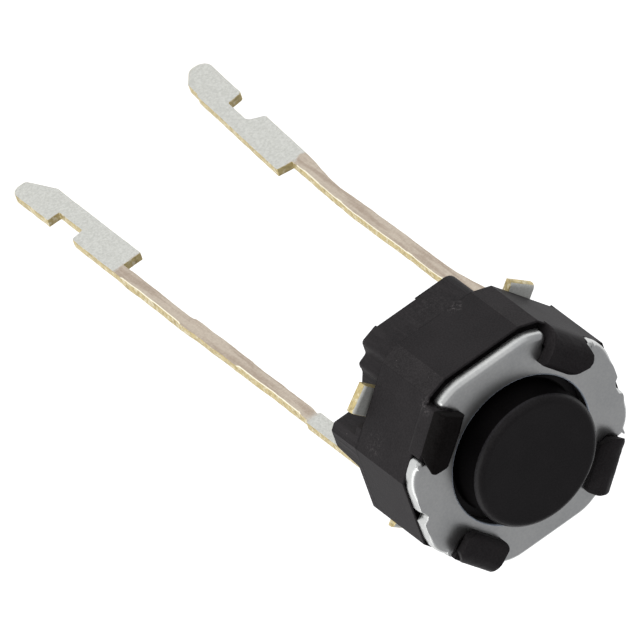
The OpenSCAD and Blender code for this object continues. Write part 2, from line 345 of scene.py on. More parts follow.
def holed(name: str, outer: Shell, hole: Shell) -> bpy.types.Object:
    """Joins an open outer wall and the open wall of a hole with two flat faces.

    Args:
        name: Name of the object.
        outer: The outer wall, its ends open.
        hole: The hole's wall, its ends open at the same two heights.

    Returns:
        The new object, in mm.
    """
    work = bmesh.new()
    for shell in (outer, hole):
        verts = [work.verts.new(p) for p in shell.points]
        for face in shell.faces:
            work.faces.new([verts[i] for i in face])
    heights = {round(e.verts[0].co.z, 4) for e in work.edges if e.is_boundary}
    for z in heights:
        rim = [e for e in work.edges if e.is_boundary and abs(e.verts[0].co.z - z) < WELD / 2]
        bmesh.ops.triangle_fill(work, edges=rim, use_beauty=True)
    return linked(name, bpy.data.meshes.new(name), work)


def applied(piece: bpy.types.Object) -> bpy.types.Object:
    """Makes a piece's modifiers part of its mesh.

    Args:
        piece: The piece.

    Returns:
        The piece.
    """
    shown = piece.evaluated_get(bpy.context.evaluated_depsgraph_get())
    mesh = bpy.data.meshes.new_from_object(shown)
    piece.modifiers.clear()
    piece.data = mesh
    return piece


def worked(base: bpy.types.Object, tool: bpy.types.Object, how: Join) -> bpy.types.Object:
    """Works one solid into another; the tool is used up.

    Args:
        base: The solid that is kept.
        tool: The other solid.
        how: What is done with it.

    Returns:
        The base, with its new mesh.
    """
    step = base.modifiers.new("work", "BOOLEAN")
    step.operation, step.object, step.solver = how.value, tool, "MANIFOLD"
    applied(base)
    bpy.data.objects.remove(tool)
    return base


def softened(piece: bpy.types.Object, cell: float, passes: int) -> bpy.types.Object:
    """Rounds every edge of a solid, as on a pressed lump.

    Args:
        piece: The solid, in mm.
        cell: Size of the cells that its new surface is made of.
        passes: Number of smoothing passes.

    Returns:
        The solid.
    """
    cells = piece.modifiers.new("cells", "REMESH")
    cells.mode, cells.voxel_size = "VOXEL", cell
    soft = piece.modifiers.new("soft", "SMOOTH")
    soft.factor, soft.iterations = 0.5, passes
    return applied(piece)


def finished(piece: bpy.types.Object) -> bpy.types.Object:
    """Cleans a piece's mesh, turns it from mm to metres and shades it up to its real edges.

    Args:
        piece: The piece, in mm.

    Returns:
        The piece, in metres.
    """
    work = bmesh.new()
    work.from_mesh(piece.data)
    bmesh.ops.remove_doubles(work, verts=work.verts, dist=WELD)
    bmesh.ops.dissolve_degenerate(work, edges=work.edges, dist=WELD)
    bmesh.ops.dissolve_limit(work, angle_limit=FLAT_ANGLE, verts=work.verts, edges=work.edges)
    if work.calc_volume(signed=True) < 0:
        bmesh.ops.reverse_faces(work, faces=work.faces)
    bmesh.ops.scale(work, vec=(MM, MM, MM), verts=work.verts)
    work.to_mesh(piece.data)
    work.free()
    piece.data.shade_smooth()
    piece.data.set_sharp_from_angle(angle=SMOOTH_ANGLE)
    flats = piece.modifiers.new("flat faces stay flat", "WEIGHTED_NORMAL")
    flats.keep_sharp = True
    return piece


# ---- shader nodes


class Value:
    """A number that varies over a surface; Python's operators add the Math nodes."""

    def __init__(self, graph: Graph, socket: bpy.types.NodeSocket) -> None:
        """Wraps a socket of a graph."""
        self.graph, self.socket = graph, socket

    def math(self, operation: str, *others: Value | float) -> Value:
        """The result of a Math node on this value and others."""
        inputs = dict(enumerate((self, *others)))
        return self.graph.value("ShaderNodeMath", {"operation": operation}, inputs)

    def __add__(self, other: Value | float) -> Value:
        """The sum."""
        return self.math("ADD", other)

    __radd__ = __add__

    def __mul__(self, other: Value | float) -> Value:
        """The product."""
        return self.math("MULTIPLY", other)

    __rmul__ = __mul__

    def __sub__(self, other: Value | float) -> Value:
        """The difference."""
        return self.math("SUBTRACT", other)

    def __rsub__(self, other: float) -> Value:
        """The difference from a number."""
        inputs = {0: other, 1: self}
        return self.graph.value("ShaderNodeMath", {"operation": "SUBTRACT"}, inputs)

    def clamped(self) -> Value:
        """This value kept between 0 and 1."""
        return self.graph.value("ShaderNodeClamp", {}, {"Value": self})

    def ramp(self, low: float, high: float) -> Value:
        """A smooth rise from 0 at low to 1 at high."""
        inputs = {"Value": self, "From Min": low, "From Max": high}
        return self.graph.value("ShaderNodeMapRange", {"interpolation_type": "SMOOTHSTEP"}, inputs)


class Graph:
    """The nodes of one material."""

    def __init__(self, name: str) -> None:
        """Starts a material with an empty node tree.

        Args:
            name: Name of the material.
        """
        self.material = bpy.data.materials.new(name)
        self.material.use_nodes = True
        self.tree = self.material.node_tree
        self.tree.nodes.clear()
        place = self.node("ShaderNodeTexCoord").outputs["Object"]
        scaled = self.node("ShaderNodeVectorMath", {"operation": "SCALE"},
                           {"Vector": place, "Scale": 1 / MM})
        self.place = scaled.outputs[0]

    def node(self, kind: str, settings: dict[str, object] | None = None,
             inputs: dict[str | int, object] | None = None) -> bpy.types.Node:
        """Adds a node.

        Args:
            kind: The node's type.
            settings: Its own settings, which are set first.
            inputs: Values or links for its sockets, by name or number.

        Returns:
            The node.
        """
        made = self.tree.nodes.new(kind)
        for key, value in (settings or {}).items():
            setattr(made, key, value)
        for key, value in (inputs or {}).items():
            source = value.socket if isinstance(value, Value) else value
            if isinstance(source, bpy.types.NodeSocket):
                self.tree.links.new(source, made.inputs[key])
            else:
                made.inputs[key].default_value = source
        return made

    def value(self, kind: str, settings: dict[str, object] | None = None,
              inputs: dict[str | int, object] | None = None, output: str | int = 0) -> Value:
        """Adds a node and wraps one of its outputs."""
        return Value(self, self.node(kind, settings, inputs).outputs[output])

    def stretched(self, scale: Triple) -> bpy.types.NodeSocket:
        """The place on the surface in mm, stretched along each axis by a scale."""
        inputs = {0: self.place, 1: scale}
        return self.node("ShaderNodeVectorMath", {"operation": "MULTIPLY"}, inputs).outputs[0]

    def height(self) -> Value:
        """The height on the part, in mm."""
        return self.value("ShaderNodeSeparateXYZ", {}, {0: self.place}, "Z")

    def distance(self, at: Triple) -> Value:
        """The distance from a point of the part, in mm."""
        settings, inputs = {"operation": "DISTANCE"}, {0: self.place, 1: at}
        return self.value("ShaderNodeVectorMath", settings, inputs, "Value")

    def noise(self, scale: float, detail: float = 2.0, at: bpy.types.NodeSocket | None = None,
              roughness: float = 0.5) -> Value:
        """Adds a noise texture.

        Args:
            scale: Number of features per mm.
            detail: Octaves of finer noise.
            at: Where it is read; the place in mm unless given.
            roughness: Strength of the finer octaves.

        Returns:
            The noise, mostly from 0.3 to 0.7.
        """
        return self.value("ShaderNodeTexNoise", {}, {
            "Vector": at or self.place, "Scale": scale, "Detail": detail, "Roughness": roughness})

    def cells(self, scale: float) -> Value:
        """Distance to the nearest of scattered points, scale of them per mm."""
        inputs = {"Vector": self.place, "Scale": scale}
        return self.value("ShaderNodeTexVoronoi", {}, inputs, "Distance")

    def blend(self, share: Value | float, first: object, second: object) -> bpy.types.NodeSocket:
        """Mixes two colours.

        Args:
            share: Share of the second colour.
            first: Colour or socket at share 0.
            second: Colour or socket at share 1.

        Returns:
            The mixed colour's socket.
        """
        full = [(*c, 1.0) if isinstance(c, tuple) else c for c in (first, second)]
        made = self.node("ShaderNodeMix", {"data_type": "RGBA"}, {0: share, 6: full[0], 7: full[1]})
        return made.outputs[2]

    def bump(self, height: Value, depth: float,
             under: bpy.types.NodeSocket | None = None) -> bpy.types.NodeSocket:
        """Adds relief.

        Args:
            height: The relief, from 0 to 1.
            depth: Its depth in mm.
            under: The normal that it adds to.

        Returns:
            The new normal's socket.
        """
        inputs: dict[str | int, object] = {
            "Height": height, "Distance": depth * MM, "Strength": 1.0}
        if under:
            inputs["Normal"] = under
        return self.node("ShaderNodeBump", {}, inputs).outputs[0]

    def finish(self, colour: bpy.types.NodeSocket | tuple[float, ...], rough: Value | float,
               **others: object) -> bpy.types.Material:
        """Adds the surface shader.

        Args:
            colour: Its base colour.
            rough: Its roughness.
            others: Values or links for further sockets, with _ for each space in a name.

        Returns:
            The finished material.
        """
        inputs = {name.replace("_", " "): value for name, value in others.items()}
        shader = self.node("ShaderNodeBsdfPrincipled", {},
                           {"Base Color": colour, "Roughness": rough, **inputs})
        self.node("ShaderNodeOutputMaterial", {}, {"Surface": shader.outputs[0]})
        return self.material


# ---- finishes


@dataclass(frozen=True)
class PalePatch:
    """A paler, rougher patch.

    Attributes:
        at: Its middle, in mm.
        radius: Its radius, in mm.
        strength: Its share of the paler colour.
    """

    at: Triple
    radius: float
    strength: float


@dataclass(frozen=True)
class MouldedPlastic:
    """Glass-filled black nylon as it comes from the mould.

    Attributes:
        name: Name of the material.
        dark: Colour of the plain surface.
        light: Colour of its paler clouds.
        speck: Colour of the glass specks.
        speck_share: How close the specks stand, from 0 to 1.
        roughness: Mean roughness.
        grain: Depth of the fine grain, in mm.
        waves: Depth of the soft sink marks, in mm.
        gloss: Specular level.
        parting: Height of the mould's parting line, with draw marks below it, in mm; the marks
            carry a painted sheen and the line a painted shadow.
        pale_patches: Its paler, rougher patches; the one low on the housing's +Y face is a painted
            sheen.
    """

    name: str
    dark: Triple
    light: Triple
    speck: Triple = (0.13, 0.12, 0.12)
    speck_share: float = 0.3
    roughness: float = 0.6
    grain: float = 0.004
    waves: float = 0.01
    gloss: float = 0.1
    parting: float | None = None
    pale_patches: tuple[PalePatch, ...] = ()

    def material(self) -> bpy.types.Material:
        """Makes the material.

        Returns:
            The material.
        """
        g = Graph(self.name)
        clouds = g.noise(1.1, 3.0)
        grain = g.noise(24.0, 2.0, roughness=0.6)
        cells = g.cells(9.0)
        spread = g.noise(3.0).ramp(0.74 - 0.3 * self.speck_share, 0.82)
        rubbed = (1 - cells.ramp(0.05, 0.16)) * spread
        share = clouds.ramp(0.35, 0.7) * 0.3 + grain.ramp(0.3, 0.7) * 0.7
        dents = g.noise(1.6, 2.0)
        if self.parting is not None:
            height = g.height()
            away = (height - self.parting).math("ABSOLUTE")
            streaks = g.noise(6.0, 3.0, g.stretched((1.0, 1.0, 0.12)), 0.6).ramp(0.42, 0.66)
            # Draw marks below the parting line: real streaks in relief, whose paler colour is a
            # painted sheen.
            draw_marks_and_sheen = streaks * (1 - height.ramp(self.parting - 0.06, self.parting))
            # Painted shadow: a thin dark line along the parting line, where the gap between the
            # mould halves lies in shade.
            line = (1 - away.ramp(0.012, 0.03)) * g.noise(2.3).ramp(0.35, 0.5)
            chips = (1 - away.ramp(0.02, 0.09)) * (1 - cells.ramp(0.12, 0.3))
            share = share + draw_marks_and_sheen * 0.4 - line * 3.0
            rubbed = rubbed + chips * g.noise(1.7).ramp(0.5, 0.6) * 0.6
            dents = dents + draw_marks_and_sheen * 0.8
        # Paler, speckled patches; the one low on the housing's +Y face is a painted sheen.
        for pale_patch in self.pale_patches:
            inside = 1 - g.distance(pale_patch.at).ramp(0.1 * pale_patch.radius, pale_patch.radius)
            patch_speckle = g.noise(13.0, 4.0, roughness=0.8).ramp(0.48, 0.66)
            rubbed = rubbed + inside * patch_speckle * pale_patch.strength
        plain = g.blend(share.clamped(), self.dark, self.light)
        colour = g.blend(rubbed.clamped(), plain, self.speck)
        rough = grain * 0.22 + (clouds * 0.12 + (self.roughness - 0.17))
        normal = g.bump(grain + rubbed * 0.5, self.grain, g.bump(dents, self.waves))
        return g.finish(colour, rough, Normal=normal, Specular_IOR_Level=self.gloss)


@dataclass(frozen=True)
class SheetMetal:
    """Rolled sheet metal with a satin skin.

    Attributes:
        name: Name of the material.
        bright: Colour of the cleaner skin.
        dull: Colour where the skin has dulled.
        roughness: Mean roughness.
        metallic: Share of the surface that shines as metal.
        grain: Depth of the fine pits, in mm.
        waves: Depth of the soft waves, in mm.
    """

    name: str
    bright: Triple
    dull: Triple
    roughness: float
    metallic: float = 1.0
    grain: float = 0.0008
    waves: float = 0.002

    def material(self) -> bpy.types.Material:
        """Makes the material.

        Returns:
            The material.
        """
        g = Graph(self.name)
        clouds = g.noise(0.9, 3.0)
        rolled = g.noise(14.0, 3.0, roughness=0.6)
        mottle = clouds.ramp(0.3, 0.7) * 0.5 + rolled.ramp(0.3, 0.7) * 0.5
        rough = rolled * 0.16 + (clouds * 0.1 + (self.roughness - 0.13))
        pits = g.noise(34.0, 2.0) * 0.6 + rolled * 0.4
        normal = g.bump(pits, self.grain, g.bump(g.noise(1.3, 2.0), self.waves))
        colour = g.blend(mottle, self.bright, self.dull)
        return g.finish(colour, rough, Normal=normal, Metallic=self.metallic)


@dataclass(frozen=True)
class PlatedStrip:
    """Tin plate over a brass strip: pale on the blade and shoulder, rubbed warm along the shank.

    Attributes:
        name: Name of the material.
        shank_low: Height of the shank's lower end, in mm.
        shank_high: Height of its upper end, in mm.
        pale: Colour of the tin plate.
        dull: Colour of its darker grains.
        warm: Colour of the rubbed shank.
        brown: Colour of the shank's darker streaks.
        roughness: Mean roughness.
        metallic: Share of the surface that shines as metal.
    """

    name: str
    shank_low: float
    shank_high: float = -1.7
    pale: Triple = (0.64, 0.645, 0.61)
    dull: Triple = (0.52, 0.525, 0.49)
    warm: Triple = (0.56, 0.495, 0.41)
    brown: Triple = (0.40, 0.325, 0.26)
    roughness: float = 0.52
    metallic: float = 0.8

    def material(self) -> bpy.types.Material:
        """Makes the material.

        Returns:
            The material.
        """
        g = Graph(self.name)
        grain = g.noise(17.0, 4.0, roughness=0.75)
        wander = g.height() + g.noise(5.0) * 0.3
        shank = wander.ramp(self.shank_low + 0.1, self.shank_low + 0.2)
        shank = shank * (1 - wander.ramp(self.shank_high, self.shank_high + 0.35))
        streak = g.noise(9.0, 4.0, g.stretched((1.0, 1.0, 0.07)), 0.65)
        blade = g.blend(grain.ramp(0.32, 0.68), self.pale, self.dull)
        worn = streak.ramp(0.4, 0.62) * 0.65 + grain.ramp(0.35, 0.65) * 0.35
        colour = g.blend(shank, blade, g.blend(worn, self.warm, self.brown))
        rough = grain * 0.24 + (self.roughness - 0.12)
        normal = g.bump(grain, 0.0025, g.bump(streak * shank, 0.006))
        return g.finish(colour, rough, Normal=normal, Metallic=self.metallic)


@dataclass(frozen=True)
class ShearedEdge:
    """Bare brass on the die-cut edges, smeared with plate.

    Attributes:
        name: Name of the material.
        brass: Colour of the brass.
        shade: Colour of its darker torn parts.
        plate: Colour of the plate dragged over the edge.
        metallic: Share of the surface that shines as metal.
    """

    name: str
    brass: Triple = (0.56, 0.46, 0.22)
    shade: Triple = (0.33, 0.26, 0.12)
    plate: Triple = (0.70, 0.64, 0.46)
    metallic: float = 0.6

    def material(self) -> bpy.types.Material:
        """Makes the material.

        Returns:
            The material.
        """
        g = Graph(self.name)
        torn = g.noise(8.0, 4.0, roughness=0.7)
        bare = g.blend(torn.ramp(0.42, 0.72), self.brass, self.shade)
        colour = g.blend(g.noise(9.0, 3.0).ramp(0.5, 0.66) * 0.8, bare, self.plate)
        normal = g.bump(torn, 0.012)
        return g.finish(colour, torn * 0.3 + 0.3, Normal=normal, Metallic=self.metallic)


Finish = MouldedPlastic | SheetMetal | PlatedStrip | ShearedEdge


@dataclass(frozen=True)
class Finishes:
    """Every finish of the switch but the leads' plate, which follows each leg."""

    housing: Finish = MouldedPlastic(
        "housing black", (0.010, 0.0087, 0.0094), (0.023, 0.0205, 0.0215), parting=1.02,
        pale_patches=(PalePatch((-1.75, 2.65, 2.95), 0.35, 0.7), PalePatch((-1.35, 3.0, 1.06), 0.22, 0.6),
                PalePatch((0.55, 3.0, 1.12), 0.3, 0.6), PalePatch((-2.75, 1.3, 1.6), 0.5, 0.25),
                # The last patch, low on the +Y face, is a painted sheen: paler where light falls on
                # that face.
                PalePatch((0.1, 2.97, 0.5), 1.1, 0.12)))
    # Facets beside the long flats: denser specks and a rougher skin, and a lighter colour that is a
    # painted sheen.
    facet: Finish = MouldedPlastic(
        "housing facet painted sheen", (0.018, 0.0164, 0.017), (0.037, 0.0338, 0.0347), speck_share=0.9,
        roughness=0.68, grain=0.006, gloss=0.08)
    # Painted shade: a near-black copy of the housing's black for the head of the lip at -X +Y,
    # whose top lies in shade.
    lip_head_shade: Finish = MouldedPlastic(
        "lip head painted shade", (0.0026, 0.0021, 0.0019), (0.008, 0.0069, 0.0068), speck_share=0.5,
        roughness=0.5, grain=0.006, gloss=0.04)
    button: Finish = MouldedPlastic(
        "button black", (0.0065, 0.0058, 0.0062), (0.0135, 0.0121, 0.0127), speck_share=0.0,
        roughness=0.38, grain=0.003, waves=0.004, gloss=0.13)
    # Painted shade: a darker copy of the button's black for its side and underside.
    button_side_shade: Finish = MouldedPlastic(
        "button side painted shade", (0.0022, 0.0019, 0.002), (0.0042, 0.0037, 0.0039), speck_share=0.0,
        roughness=0.55, grain=0.0016, waves=0.001, gloss=0.02)
    # Painted highlight: a paler, glossier, speckled copy for the arc over the button's side, where
    # its edge catches light.
    button_edge_highlight: Finish = MouldedPlastic(
        "button edge painted highlight", (0.005, 0.0045, 0.005), (0.019, 0.0172, 0.0196),
        speck=(0.07, 0.066, 0.08), speck_share=0.9, roughness=0.42, grain=0.006, waves=0.004,
        gloss=0.14)
    cover: Finish = SheetMetal("cover steel", (0.57, 0.575, 0.56), (0.48, 0.49, 0.485), 0.32)
    # Painted highlight: a bright bluish steel for the rounded edge of the cover's hole.
    hole_edge_highlight: Finish = SheetMetal(
        "hole edge painted highlight", (0.74, 0.82, 0.92), (0.42, 0.48, 0.56), 0.4, 0.25)
    sheared: Finish = ShearedEdge("sheared brass")
    # Painted highlight: a near-white brass for the leads' coined edges, where a roll-over edge
    # catches light.
    rolled: Finish = SheetMetal("rolled edge painted highlight", (0.96, 0.92, 0.76), (0.84, 0.78, 0.60), 0.4, 0.7)
    spring: Finish = SheetMetal("spring steel", (0.66, 0.65, 0.62), (0.52, 0.51, 0.48), 0.28)


# ---- pieces


@dataclass
class Piece:
    """What every piece of the switch has in common."""

    finishes: Finishes

    def build(self) -> bpy.types.Object:
        """Builds the piece, each kind in its own way."""
        raise NotImplementedError

    def finish_of(self, middle: Vector, normal: Vector) -> int:
        """Number of a face's finish, from its middle in mm and its normal."""
        return 0

    def completed(self, made: bpy.types.Object, looks: Sequence[Finish], body: Body, slot: Slot,
                  *nodes: str) -> bpy.types.Object:
        """Finishes a piece, dresses it and lets it ride in place of its CAD nodes.

        Args:
            made: The piece, in mm.
            looks: Its finishes.
            body: The body that it rides on.
            slot: The record's slot for its finish; not used.
            nodes: The CAD nodes that it stands for.

        Returns:
            The piece.
        """
        finished(made).data.materials.clear()
        for look in looks:
            made.data.materials.append(look.material())
        for face in made.data.polygons:
            face.material_index = self.finish_of(face.center / MM, face.normal)
        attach(made, body.value)
        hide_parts(*nodes)
        log.info("%s: %d faces, rides on %s", made.name, len(made.data.polygons), body.value)
        return made


@dataclass(frozen=True)
class LipShape:
    """How one staked lip came out of the staking tool.

    Places along its width are measured from the middle line of the housing's slanted face, towards
    the long flat; distances are measured from the axis.

    Attributes:
        side: Signs of X and Y at the lip.
        near: End of its head towards the short flat.
        far: Its other end.
        root: End of its post towards the short flat.
        reach: Distance of its inner end.
        corner: Width of the sloped corner between the inner end and the near end.
        slope: Length of that corner, away from the axis.
        far_round: Radius of the corner between the inner end and the far end.
        point: Distance of the pointed corner at the near end.
        top: Height of its top above the board.
        nose: How far the inner end slopes down and in.
        bend: Radius of the bend over its outer edge.
        lean: How far the near end leans out towards its top.
        ruffle: Depth of its unevenness.
        grooves: Depth of the marks along its width.
        seed: Picks its unevenness.
    """

    side: tuple[int, int]
    near: float = -0.47
    far: float = 0.95
    root: float = -0.25
    reach: float = 2.16
    corner: float = 0.3
    slope: float = 0.3
    far_round: float = 0.06
    point: float = 2.79
    top: float = 3.63
    nose: float = 0.16
    bend: float = 0.48
    lean: float = 0.12
    ruffle: float = 0.018
    grooves: float = 0.0
    seed: float = 0.0


@dataclass
class Housing(Piece):
    """The black moulding with its four staked lips."""

    body_y: float = 6.0
    body_x: float = 6.05
    flat_y_len: float = 2.2
    flat_x_len: float = 2.0
    facet_w: float = 0.58
    facet_angle: float = math.radians(20)
    ledge_z: float = 2.95
    parting_z: float = 1.02
    parting_step: float = 0.03
    skirt_h: float = 0.19
    skirt_over: float = 0.4
    foot_h: float = 0.08
    foot_len: float = 0.75
    foot_y: float = 0.47
    foot_slope: float = 0.2
    core_x: float = 2.05
    core_wall: float = 0.2
    low_over: float = 0.19
    low_side: float = 0.46
    rib_in: float = 0.1
    rib_w: float = 0.38
    rib_step: float = 0.26
    moulded_r: float = 0.1
    floor_z: float = 1.12
    pocket_r: float = 2.15
    pocket_h: float = 0.6
    chamber_r: float = 2.3
    chamber_sides: int = 96
    cover_t: float = 0.32
    lip_post_t: float = 0.46
    lip_out: float = 0.02
    lip_hide: float = 0.1
    lip_swell: Point = (0.4, 0.1)
    lip_swell_r: float = 0.3
    lip_nose_r: Point = (0.12, 0.06)
    lip_corner_share: float = 0.7
    lip_point_r: float = 0.02
    lip_root_r: float = 0.05
    lip_steps: int = 8
    lip_cell: float = 0.024
    lip_passes: int = 3
    corner_feet: Point = (1.06, 0.85)
    foot_rounds: Triple = (0.08, 0.06, 0.05)
    bottom_r: float = 0.05
    low_far_r: float = 0.3
    low_near_r: float = 0.04
    rib_r: float = 0.12
    edge_r: float = 0.035
    corner_share: float = 1.4
    rim_w: float = 0.045
    groove_w: float = 0.26
    groove_h: float = 0.22
    overlap: float = 0.1
    lips: tuple[LipShape, ...] = (
        LipShape((1, 1), near=-0.45, corner=0.42, slope=0.42, reach=2.13, nose=0.12, bend=0.55,
                 seed=3.1),
        LipShape((-1, 1), near=-0.5, far=1.03, reach=2.2, corner=0.34, slope=0.5, nose=0.2,
                 bend=0.4, ruffle=0.026, grooves=0.008, seed=11.7),
        LipShape((1, -1), far=1.05, reach=2.24, corner=0.2, slope=0.2, nose=0.2, bend=0.5,
                 seed=23.3),
        LipShape((-1, -1), near=-0.5, far=0.88, reach=2.18, corner=0.16, slope=0.16,
                 far_round=0.14, nose=0.1, bend=0.34, lean=0.16, grooves=0.003, seed=37.9),
    )
    half_x: float = field(init=False)
    half_y: float = field(init=False)
    flat_x: float = field(init=False)
    flat_y: float = field(init=False)
    facet_x: float = field(init=False)
    facet_y: float = field(init=False)
    slant_angle: float = field(init=False)
    slant_r: float = field(init=False)

    def __post_init__(self) -> None:
        """Works out the corners and the slanted faces' direction and distance from the axis."""
        self.half_x, self.half_y = self.body_x / 2, self.body_y / 2
        self.flat_y, self.flat_x = self.flat_y_len / 2, self.flat_x_len / 2
        self.facet_x = self.flat_y + self.facet_w * math.cos(self.facet_angle)
        self.facet_y = self.half_y - self.facet_w * math.sin(self.facet_angle)
        angle = math.atan2(self.half_x - self.facet_x, self.facet_y - self.flat_x)
        self.slant_angle = angle
        self.slant_r = self.facet_x * math.cos(angle) + self.facet_y * math.sin(angle)

    def corners(self) -> list[Point]:
        """Gives the upper body's outline with sharp corners.

        Returns:
            Its points.
        """
        quarter = [(self.half_x, self.flat_x), (self.facet_x, self.facet_y),
                   (self.flat_y, self.half_y)]
        half = quarter + [(-x, y) for x, y in reversed(quarter)]
        return half + turned(half)

    def outline(self) -> list[Point]:
        """The upper body's outline."""
        return rounded([(*p, self.edge_r * self.corner_share) for p in self.corners()], 4)

    def lower_outline(self) -> list[Point]:
        """Gives the outline below the metal frame, which half a turn brings onto itself.

        Returns:
            Its points.
        """
        rib_x, rib_y = self.rib_in - self.facet_x, self.facet_y - self.rib_w
        low_x, low_y = self.flat_y + self.low_over, self.half_y - self.parting_step
        end_y, small = self.flat_x + self.skirt_over, self.moulded_r
        half = [
            (self.core_x, end_y, small), (low_x, self.facet_y - self.low_side, small),
            (low_x, low_y, self.low_far_r), (-self.flat_y, low_y, self.low_near_r),
            (rib_x, self.facet_y, self.rib_r), (rib_x, rib_y, small),
            (rib_x - self.rib_step, rib_y - self.rib_step / 2, small),
            (rib_x - self.rib_step, rib_y - self.rib_w, small), (-self.core_x, end_y, small),
        ]
        return rounded(half + turned(half))

    def upper_body(self) -> bpy.types.Object:
        """Builds the upper body with the wall over each lead and the two outer feet.

        Returns:
            The solid, in mm.
        """
        made = Shell.prism(self.outline(), -self.overlap, self.ledge_z, 0, self.edge_r)
        made = made.to_object("housing_body")
        inner, over = self.core_x - self.core_wall, self.flat_x + self.skirt_over
        half = [(OUTSIDE, -over), (inner, -over), (inner, self.flat_x), (OUTSIDE, self.flat_x),
                (OUTSIDE, OUTSIDE), (-OUTSIDE, OUTSIDE)]
        below = Shell.prism(half + turned(half), BELOW, self.parting_z)
        worked(made, below.to_object("below"), Join.CUT)
        under = self.parting_z - self.skirt_h
        lean = self.foot_slope * under / self.parting_z
        foot_end = self.foot_y + self.foot_len
        end_r, start_r, root_r = self.foot_rounds
        profile = rounded([
            (-OUTSIDE, BELOW, 0), (OUTSIDE, BELOW, 0), (OUTSIDE, under, 0), (foot_end, under, 0),
            (foot_end, 0, end_r), (self.foot_y, 0, start_r), (self.foot_y - lean, under, root_r),
            (-OUTSIDE, under, 0),
        ])
        for turn in (Matrix.Identity(4), HALF_TURN):
            side = Shell.prism(profile, -OUTSIDE, self.overlap - inner).moved(turn @ ALONG_X)
            worked(made, side.to_object("side"), Join.CUT)
        return made

    def lower_body(self) -> bpy.types.Object:
        """Builds the moulding below the metal frame, whose corners stand on the board.

        Returns:
            The solid, in mm.
        """
        high, small = self.parting_z + 2 * self.overlap, self.moulded_r
        made = Shell.prism(self.lower_outline(), 0, high, self.bottom_r).to_object("lower_body")
        left, right = self.corner_feet
        rib = self.facet_y - self.rib_w - self.rib_step
        half = rounded([(right, -OUTSIDE, 0), (left, -OUTSIDE, 0), (left, -rib, small),
                        (OUTSIDE, -rib, 0), (OUTSIDE, rib + small, 0), (right, rib + small, small)])
        between_feet = Shell.prism(half + turned(half), BELOW, self.foot_h)
        return worked(made, between_feet.to_object("between_feet"), Join.CUT)

    def lip(self, shape: LipShape) -> bpy.types.Object:
        """Builds a staked lip in its place on the housing.

        Args:
            shape: How the lip came out.

        Returns:
            The lip, rooted in the body, in mm.
        """
        spare, proud, covered = 0.3, 0.004, 0.02
        post, under = self.slant_r - self.lip_post_t, self.ledge_z + self.cover_t
        outer, hidden = self.slant_r + self.lip_out, self.slant_r - self.lip_hide
        root, far, reach = shape.root, shape.far, shape.reach
        low, high = (self.ledge_z - depth for depth in self.lip_swell)
        nose_high_r, nose_low_r = self.lip_nose_r
        section = rounded([
            (post, self.floor_z + spare, 0), (hidden, self.floor_z + spare, 0),
            (hidden, low, 0), (outer, high, self.lip_swell_r),
            (outer, shape.top, shape.bend), (reach + shape.nose, shape.top, nose_high_r),
            (reach, shape.top - shape.nose, nose_low_r), (reach, under, 0), (post, under, 0),
        ], self.lip_steps)
        made = Shell.prism(section, shape.near - spare, far + spare).moved(ALONG_Y)
        made = made.to_object("lip")
        past, corner_r = outer + 2 * self.overlap, shape.corner * self.lip_corner_share
        head = Shell.prism(rounded([
            (past, root, 0), (past, far, 0), (reach, far, shape.far_round),
            (reach, shape.near + shape.corner, corner_r),
            (reach + shape.slope, shape.near, corner_r),
            (shape.point, shape.near, self.lip_point_r), (self.slant_r, root, self.lip_root_r),
        ]), under + proud, shape.top + spare).to_object("head")
        inner, out = post - self.overlap, outer + self.overlap
        box = Shell.prism([(inner, root), (out, root), (out, far), (inner, far)], self.floor_z,
                          under + covered)
        worked(head, box.to_object("post"), Join.ADD)
        softened(worked(made, head, Join.KEEP_COMMON), self.lip_cell, self.lip_passes)
        spin = Matrix.Rotation(self.slant_angle, 4, "Z")
        flip = Matrix.Diagonal((*shape.side, 1, 1))
        for vertex in made.data.vertices:
            vertex.co = flip @ spin @ (vertex.co + self.staking(shape, vertex.co))
        return made

    def staking(self, shape: LipShape, at: Vector) -> Vector:
        """Works out how far the staking tool moved a point of a lip's head.

        Args:
            shape: How the lip came out.
            at: The point: distance from the axis, place along the width, height.

        Returns:
            Its move.
        """
        fade, coarse, fine, lean_from, lean_over = 2.5, 2.2, 6.0, 0.1, 0.4
        out_share, along_share = 0.3, 0.4
        under = self.ledge_z + self.cover_t
        rise = (at.z - under) / (shape.top - under)
        if rise <= 0:
            return Vector()
        share = smoothstep(rise * fade)
        seed = Vector((shape.seed, shape.seed * 0.7, 0))
        lump = noise.noise(at * coarse + seed) + 0.5 * noise.noise(at * fine + seed)
        groove = noise.noise(Vector((at.x * 11.0, at.y * 0.9, shape.seed)))
        lean = shape.lean * (1 - min(rise, 1.0)) * smoothstep((lean_from - at.y) / lean_over)
        up = shape.ruffle * lump + shape.grooves * groove
        return Vector((out_share * shape.ruffle * lump * share,
                       lean + along_share * shape.ruffle * lump * share, up * share))

